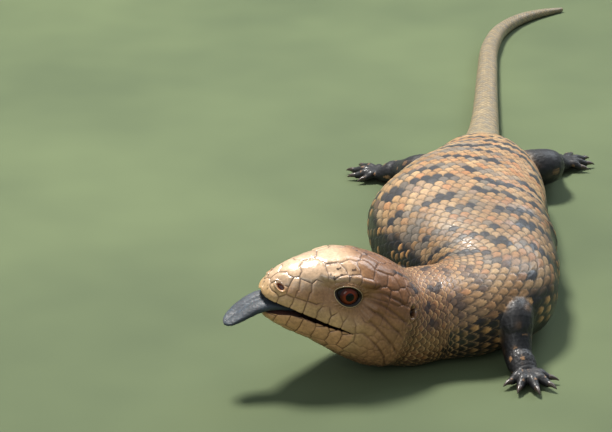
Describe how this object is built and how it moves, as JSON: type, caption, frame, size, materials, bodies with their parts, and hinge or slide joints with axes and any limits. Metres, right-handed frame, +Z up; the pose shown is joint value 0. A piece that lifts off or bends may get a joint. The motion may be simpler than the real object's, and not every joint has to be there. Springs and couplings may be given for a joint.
{
  "type": "blue tongued skink",
  "caption": "Life-size blue-tongued skink lying at rest, head raised and turned to its right, mouth parted with the broad tongue out, slender tail curved to one side",
  "frame": {"origin": "on the floor, under the middle of the flat of the belly", "axes": "+Z up, +Y along the trunk towards the tail, +X to the animal's left; the floor is Z = 0"},
  "size_m": [0.1726, 0.4836, 0.0488],
  "materials": {
    "skin_head": "wet scaled skin, glossy",
    "skin_jaw": "wet scaled skin, glossy",
    "skin_back": "wet scaled skin, glossy",
    "skin_limb": "wet scaled skin, glossy",
    "tongue": "moist, soft",
    "eye": "wet, clear"
  },
  "bodies": {
    "root": {"head": "skin_head", "lower_jaw": "skin_jaw", "tongue": "tongue", "eye_left": "eye", "eye_right": "eye", "neck": "skin_back", "torso_front": "skin_back", "torso_rear": "skin_back", "tail_base": "skin_back", "tail_middle": "skin_back", "tail_end": "skin_back", "upper_arm_left": "skin_limb", "forearm_left": "skin_limb", "hand_left": "skin_limb", "upper_arm_right": "skin_limb", "forearm_right": "skin_limb", "hand_right": "skin_limb", "thigh_left": "skin_limb", "shin_left": "skin_limb", "foot_left": "skin_limb", "thigh_right": "skin_limb", "shin_right": "skin_limb", "foot_right": "skin_limb"}
  },
  "joints": []
}
